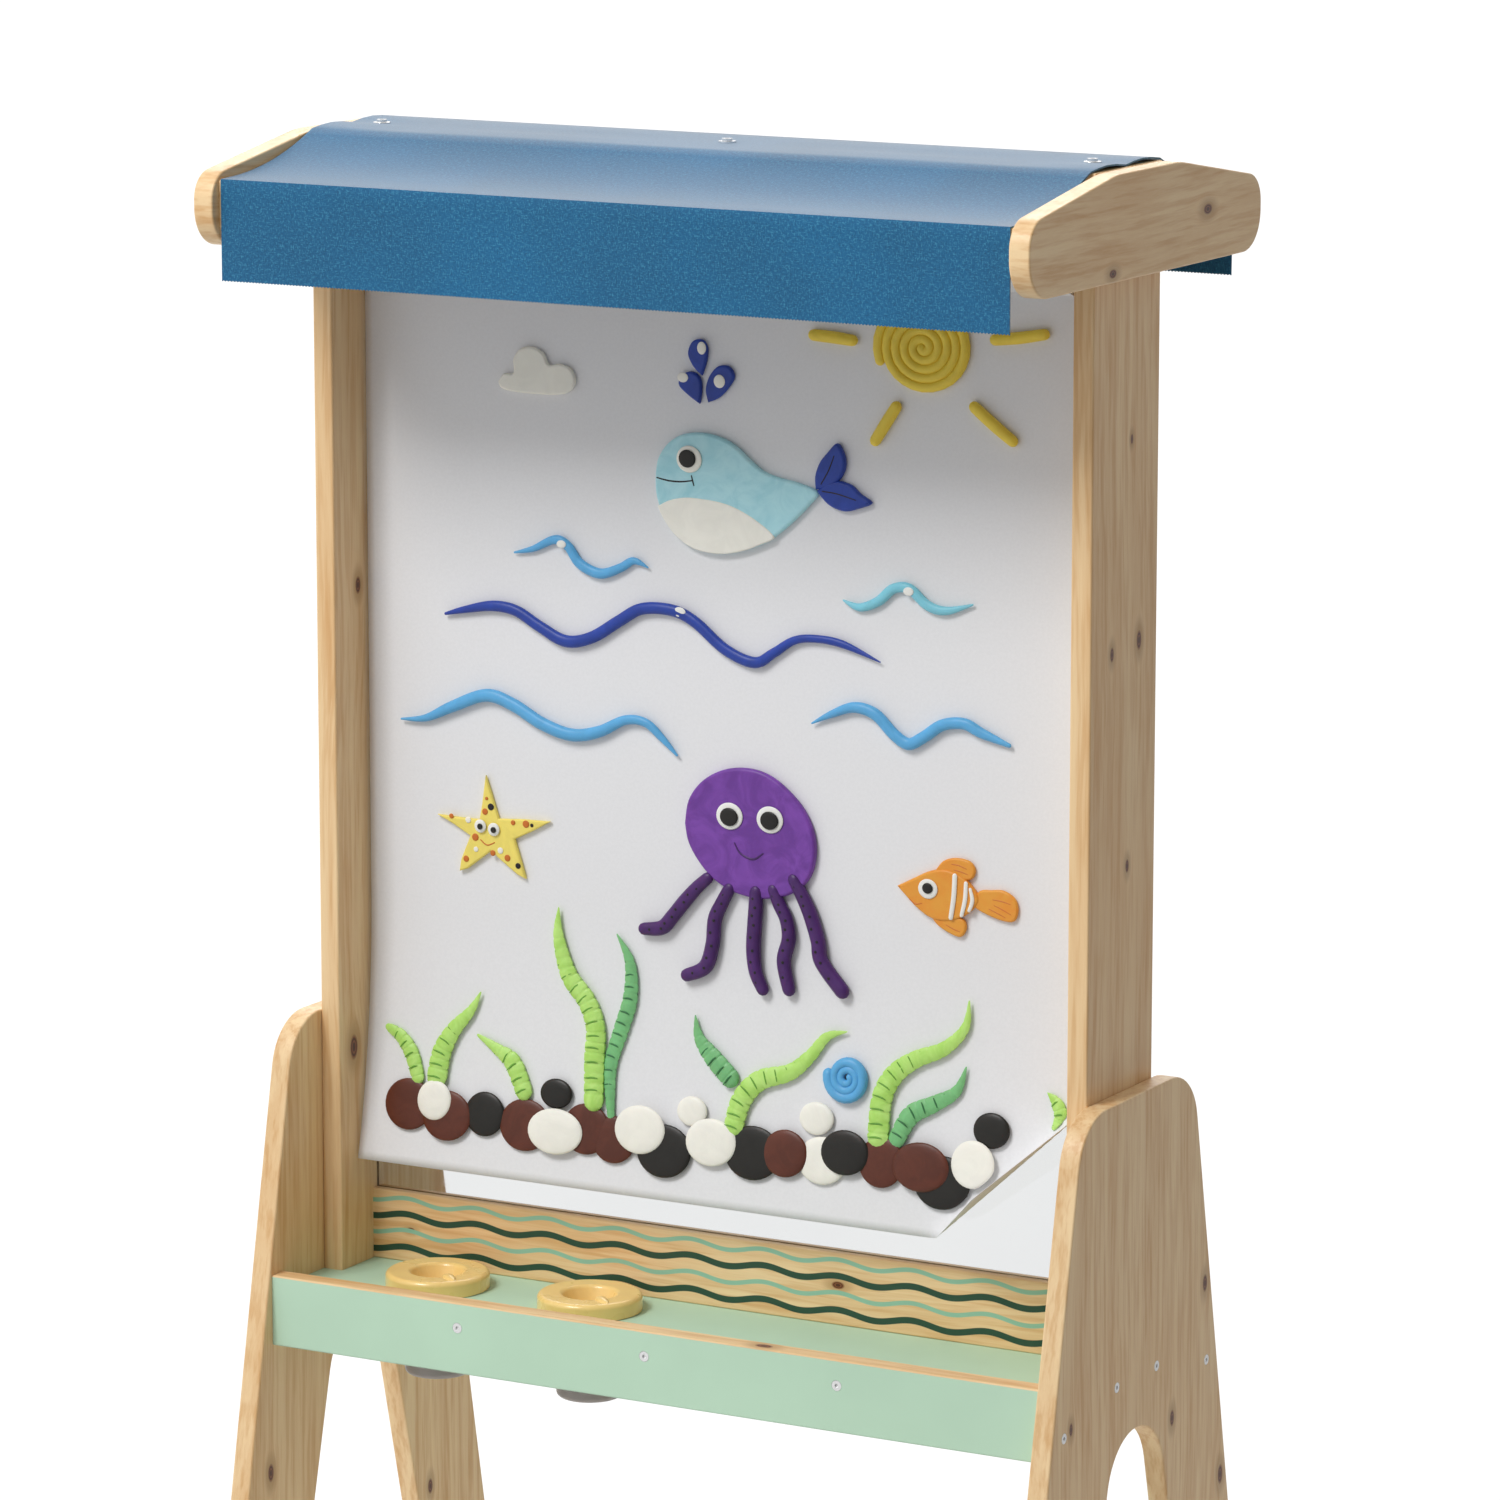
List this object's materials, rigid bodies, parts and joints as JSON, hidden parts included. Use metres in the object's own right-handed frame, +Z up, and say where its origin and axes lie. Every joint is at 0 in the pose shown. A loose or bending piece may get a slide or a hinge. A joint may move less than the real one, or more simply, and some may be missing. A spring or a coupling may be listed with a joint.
{
  "type": "wooden artist easel",
  "caption": "Double-sided wooden art easel for a child, with a fabric canopy, clear painting panel, paper roll, paint tray, lidded paint cups and a clay sea picture on the paper.",
  "frame": {"origin": "on the floor, under the middle of the easel", "axes": "+Z up, +X to the right of a child standing at the front, -Y towards that child"},
  "size_m": [0.666, 0.426, 1.2765],
  "materials": {
    "pine": "satin",
    "mint_paint": "matte",
    "clear_acrylic": "gloss",
    "bright_steel": "satin",
    "beech": "satin",
    "canopy_fabric": "matte",
    "core_board": "matte",
    "white_paper": "matte",
    "cup_plastic": "satin",
    "lid_plastic": "gloss",
    "clay_white": "satin",
    "clay_navy": "satin",
    "clay_yellow": "satin",
    "clay_aqua": "satin",
    "clay_blue": "satin",
    "clay_purple": "satin",
    "clay_orange": "satin",
    "clay_brown": "satin",
    "clay_green": "satin"
  },
  "bodies": {
    "frame": {"left_leg_panel": "pine", "right_leg_panel": "pine", "left_upright": "pine", "right_upright": "pine", "left_gable": "pine", "right_gable": "pine", "roof_board": "pine", "front_roof_rail": "pine", "rear_roof_rail": "pine", "wave_rail": "pine", "upper_rail": "pine", "tray_floor": "mint_paint", "front_apron": "mint_paint", "rear_apron": "mint_paint", "acrylic_panel": "clear_acrylic", "leg_panel_screws": "bright_steel", "apron_screws": "bright_steel", "gable_screws": "bright_steel", "roof_board_screws": "bright_steel", "wave_rail_screws": "bright_steel", "canopy_screws": "bright_steel", "canopy_washers": "bright_steel", "upright_pegs": "beech", "upper_rail_pegs": "beech", "roof_rail_pegs": "beech", "canopy_cover": "canopy_fabric", "paper_sheet": "white_paper", "clay_cloud": "clay_white", "clay_drops": "clay_navy", "clay_sun": "clay_yellow", "clay_whale": "clay_aqua", "clay_waves": "clay_blue", "clay_starfish": "clay_yellow", "clay_octopus": "clay_purple", "clay_fish": "clay_orange", "clay_eyes": "clay_white", "clay_pebbles": "clay_brown", "clay_shell": "clay_blue", "clay_seaweed": "clay_green"},
    "dowel": {"roll_dowel": "beech"},
    "roll": {"cardboard_core": "core_board", "paper_roll": "white_paper"},
    "left_cup": {"left_cup": "cup_plastic"},
    "left_cup_lid": {"left_cup_lid": "lid_plastic"},
    "right_cup": {"right_cup": "cup_plastic"},
    "right_cup_lid": {"right_cup_lid": "lid_plastic"}
  },
  "joints": [
    {"name": "dowel_lift", "type": "slide", "parent": "frame", "child": "dowel", "axis": [0, -0.9397, 0.342], "range_m": [0, 0.03]},
    {"name": "roll_spin", "type": "hinge", "parent": "dowel", "child": "roll", "pos_m": [0, -0.039, 1.215], "axis": [1, 0, 0], "continuous": true},
    {"name": "left_cup_lift", "type": "slide", "parent": "frame", "child": "left_cup", "axis": [0, 0, 1], "range_m": [0, 0.045]},
    {"name": "left_lid_lift", "type": "slide", "parent": "left_cup", "child": "left_cup_lid", "axis": [0, 0, 1], "range_m": [0, 0.02]},
    {"name": "right_cup_lift", "type": "slide", "parent": "frame", "child": "right_cup", "axis": [0, 0, 1], "range_m": [0, 0.045]},
    {"name": "right_lid_lift", "type": "slide", "parent": "right_cup", "child": "right_cup_lid", "axis": [0, 0, 1], "range_m": [0, 0.02]}
  ]
}
